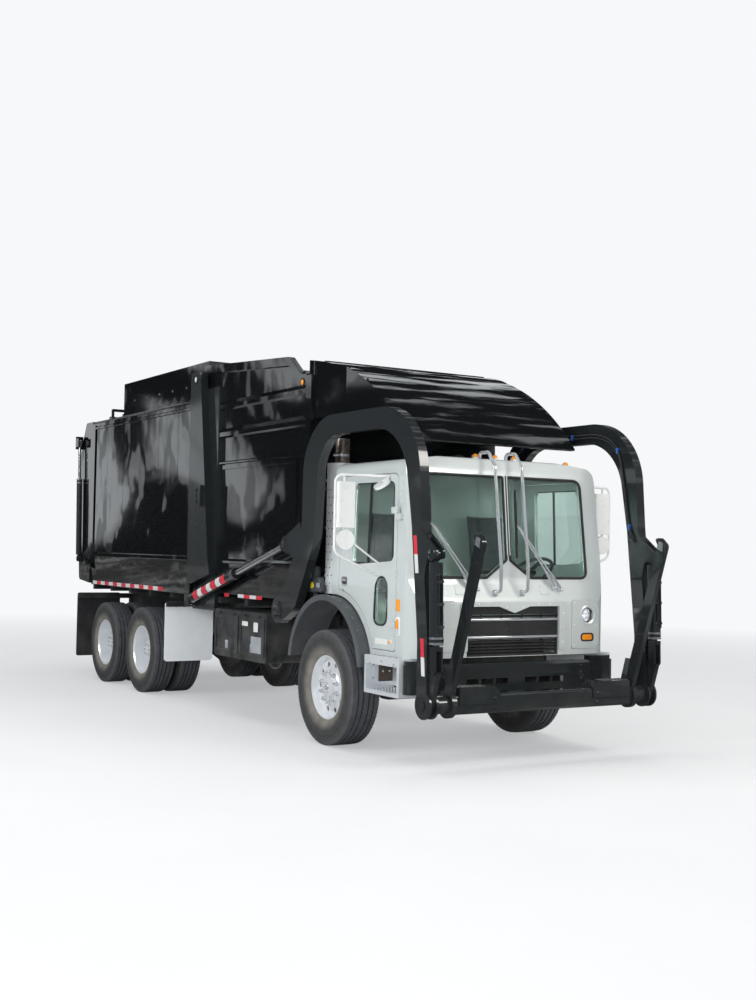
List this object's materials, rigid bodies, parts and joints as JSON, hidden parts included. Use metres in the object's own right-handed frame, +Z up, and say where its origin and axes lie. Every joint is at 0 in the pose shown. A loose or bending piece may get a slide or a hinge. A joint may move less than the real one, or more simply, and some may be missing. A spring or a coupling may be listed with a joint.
{
  "type": "refuse truck",
  "caption": "Front-loading refuse truck with a forward-control cab, over-cab lift arms and forks, open hopper, closed body and sliding top door.",
  "frame": {"origin": "middle of the bounding box's footprint, on the ground the tyres stand on", "axes": "+Z up, -Y to the truck's front, +Y to its tailgate, +X to its left side"},
  "size_m": [3.164, 9.501, 3.9998],
  "materials": {
    "cab_paint": "semi-gloss silver grey",
    "black_paint": "gloss black",
    "frame_paint": "satin black",
    "white_sheet": "white",
    "black_rubber": "matt black",
    "tyre": "dusty black",
    "wheel_metal": "polished",
    "step_metal": "dull",
    "chrome": "bright",
    "rod_steel": "bright",
    "cast_steel": "dark",
    "glass": "clear",
    "lamp_plastic": "clear lens",
    "amber_plastic": "amber lens",
    "red_plastic": "red lens",
    "dark_plastic": "dark grey",
    "seat_fabric": "woven"
  },
  "bodies": {
    "truck": {"arm_saddles": "frame_paint", "body_posts": "black_paint", "body_shell": "black_paint", "bumper": "black_paint", "cab_shell": "cab_paint", "cab_steps": "step_metal", "canopy": "black_paint", "dashboard": "dark_plastic", "engine": "cast_steel", "exhaust": "chrome", "frame_rails": "frame_paint", "front_axle": "cast_steel", "front_fenders": "dark_plastic", "front_flaps": "white_sheet", "grab_rails": "chrome", "grille": "dark_plastic", "headlamps": "lamp_plastic", "hopper": "black_paint", "marker_lamps": "amber_plastic", "rear_axles": "cast_steel", "rear_bumper": "frame_paint", "rear_flaps": "black_rubber", "seats": "seat_fabric", "side_tanks": "frame_paint", "springs": "cast_steel", "subframe": "frame_paint", "windscreen": "glass"},
    "left_knuckle": {"knuckle_left": "cast_steel"},
    "front_left_wheel": {"front_tyre_left": "tyre", "front_wheel_left": "wheel_metal"},
    "mid_left_wheels": {"mid_tyres_left": "tyre", "mid_wheels_left": "wheel_metal"},
    "rear_left_wheels": {"rear_tyres_left": "tyre", "rear_wheels_left": "wheel_metal"},
    "left_door": {"door_left": "cab_paint", "door_glass_left": "glass", "mirror_left": "white_sheet"},
    "right_knuckle": {"knuckle_right": "cast_steel"},
    "front_right_wheel": {"front_tyre_right": "tyre", "front_wheel_right": "wheel_metal"},
    "mid_right_wheels": {"mid_tyres_right": "tyre", "mid_wheels_right": "wheel_metal"},
    "rear_right_wheels": {"rear_tyres_right": "tyre", "rear_wheels_right": "wheel_metal"},
    "right_door": {"door_right": "cab_paint", "door_glass_right": "glass", "mirror_right": "white_sheet"},
    "arms": {"lift_arms": "black_paint"},
    "fork_frame": {"forks": "black_paint"},
    "lift_cylinders": {"lift_barrels": "black_paint"},
    "lift_plungers": {"lift_rods": "rod_steel"},
    "fork_cylinders": {"fork_barrels": "black_paint"},
    "fork_plungers": {"fork_rods": "rod_steel"},
    "rear_gate": {"tailgate": "black_paint", "tail_lamps": "red_plastic"},
    "gate_cylinders": {"tailgate_barrels": "black_paint"},
    "gate_plungers": {"tailgate_rods": "rod_steel"},
    "lid": {"top_door": "black_paint"},
    "blade": {"packer": "black_paint"}
  },
  "joints": [
    {"name": "steer_left", "type": "hinge", "parent": "truck", "child": "left_knuckle", "pos_m": [0.87, -2.56354, 0.538], "axis": [0, 0, 1], "range_deg": [-30, 30]},
    {"name": "front_left_spin", "type": "hinge", "parent": "left_knuckle", "child": "front_left_wheel", "pos_m": [1.075, -2.56354, 0.538], "axis": [1, 0, 0], "continuous": true},
    {"name": "mid_left_spin", "type": "hinge", "parent": "truck", "child": "mid_left_wheels", "pos_m": [0.93, 2.15146, 0.527], "axis": [1, 0, 0], "continuous": true},
    {"name": "rear_left_spin", "type": "hinge", "parent": "truck", "child": "rear_left_wheels", "pos_m": [0.93, 3.47546, 0.527], "axis": [1, 0, 0], "continuous": true},
    {"name": "door_left_swing", "type": "hinge", "parent": "truck", "child": "left_door", "pos_m": [1.118, -3.61354, 1.7], "axis": [0, 0, -1], "range_deg": [0, 75]},
    {"name": "steer_right", "type": "hinge", "parent": "truck", "child": "right_knuckle", "pos_m": [-0.87, -2.56354, 0.538], "axis": [0, 0, 1], "range_deg": [-30, 30]},
    {"name": "front_right_spin", "type": "hinge", "parent": "right_knuckle", "child": "front_right_wheel", "pos_m": [-1.075, -2.56354, 0.538], "axis": [1, 0, 0], "continuous": true},
    {"name": "mid_right_spin", "type": "hinge", "parent": "truck", "child": "mid_right_wheels", "pos_m": [-0.93, 2.15146, 0.527], "axis": [1, 0, 0], "continuous": true},
    {"name": "rear_right_spin", "type": "hinge", "parent": "truck", "child": "rear_right_wheels", "pos_m": [-0.93, 3.47546, 0.527], "axis": [1, 0, 0], "continuous": true},
    {"name": "door_right_swing", "type": "hinge", "parent": "truck", "child": "right_door", "pos_m": [-1.118, -3.61354, 1.7], "axis": [0, 0, 1], "range_deg": [0, 75]},
    {"name": "arm_lift", "type": "hinge", "parent": "truck", "child": "arms", "pos_m": [0, -1.61354, 1.21], "axis": [-1, 0, 0], "range_deg": [0, 88]},
    {"name": "lift_cylinder_swing", "type": "hinge", "parent": "truck", "child": "lift_cylinders", "pos_m": [0, 0.68646, 1.22], "axis": [1, 0, 0], "range_deg": [0, 10.79]},
    {"name": "lift_cylinder_stroke", "type": "slide", "parent": "lift_cylinders", "child": "lift_plungers", "axis": [0, -0.9657, 0.2597], "range_m": [-0.84479, 0]},
    {"name": "fork_tilt", "type": "hinge", "parent": "arms", "child": "fork_frame", "pos_m": [0, -4.26354, 0.56], "axis": [1, 0, 0], "range_deg": [0, 80]},
    {"name": "fork_cylinder_swing", "type": "hinge", "parent": "arms", "child": "fork_cylinders", "pos_m": [0, -4.36354, 1.8], "axis": [-1, 0, 0], "range_deg": [0, 7.59]},
    {"name": "fork_cylinder_stroke", "type": "slide", "parent": "fork_cylinders", "child": "fork_plungers", "axis": [0, -0.0319, -0.9995], "range_m": [0, 0.3934]},
    {"name": "tailgate_lift", "type": "hinge", "parent": "truck", "child": "rear_gate", "pos_m": [0, 4.22946, 3.58], "axis": [1, 0, 0], "range_deg": [0, 85]},
    {"name": "tailgate_cylinder_swing", "type": "hinge", "parent": "truck", "child": "gate_cylinders", "pos_m": [0, 4.55646, 1.62], "axis": [1, 0, 0], "range_deg": [0, 1.91]},
    {"name": "tailgate_cylinder_stroke", "type": "slide", "parent": "gate_cylinders", "child": "gate_plungers", "axis": [0, 0.049, 0.9988], "range_m": [0, 0.70503]},
    {"name": "top_door_slide", "type": "slide", "parent": "truck", "child": "lid", "axis": [0, 1, 0], "range_m": [-2.44, 0]},
    {"name": "packer_stroke", "type": "slide", "parent": "truck", "child": "blade", "axis": [0, 1, 0], "range_m": [0, 2.05]}
  ],
  "couplings": [
    {"joint": "steer_right", "follows": "steer_left", "ratio": 1},
    {"joint": "lift_cylinder_swing", "follows": "arm_lift", "ratio": 0.1225},
    {"joint": "lift_cylinder_stroke", "follows": "arm_lift", "m_per_rad": -0.55002},
    {"joint": "fork_cylinder_swing", "follows": "fork_tilt", "ratio": 0.094738},
    {"joint": "fork_cylinder_stroke", "follows": "fork_tilt", "m_per_rad": 0.28174},
    {"joint": "tailgate_cylinder_swing", "follows": "tailgate_lift", "ratio": 0.022322},
    {"joint": "tailgate_cylinder_stroke", "follows": "tailgate_lift", "m_per_rad": 0.47523}
  ]
}
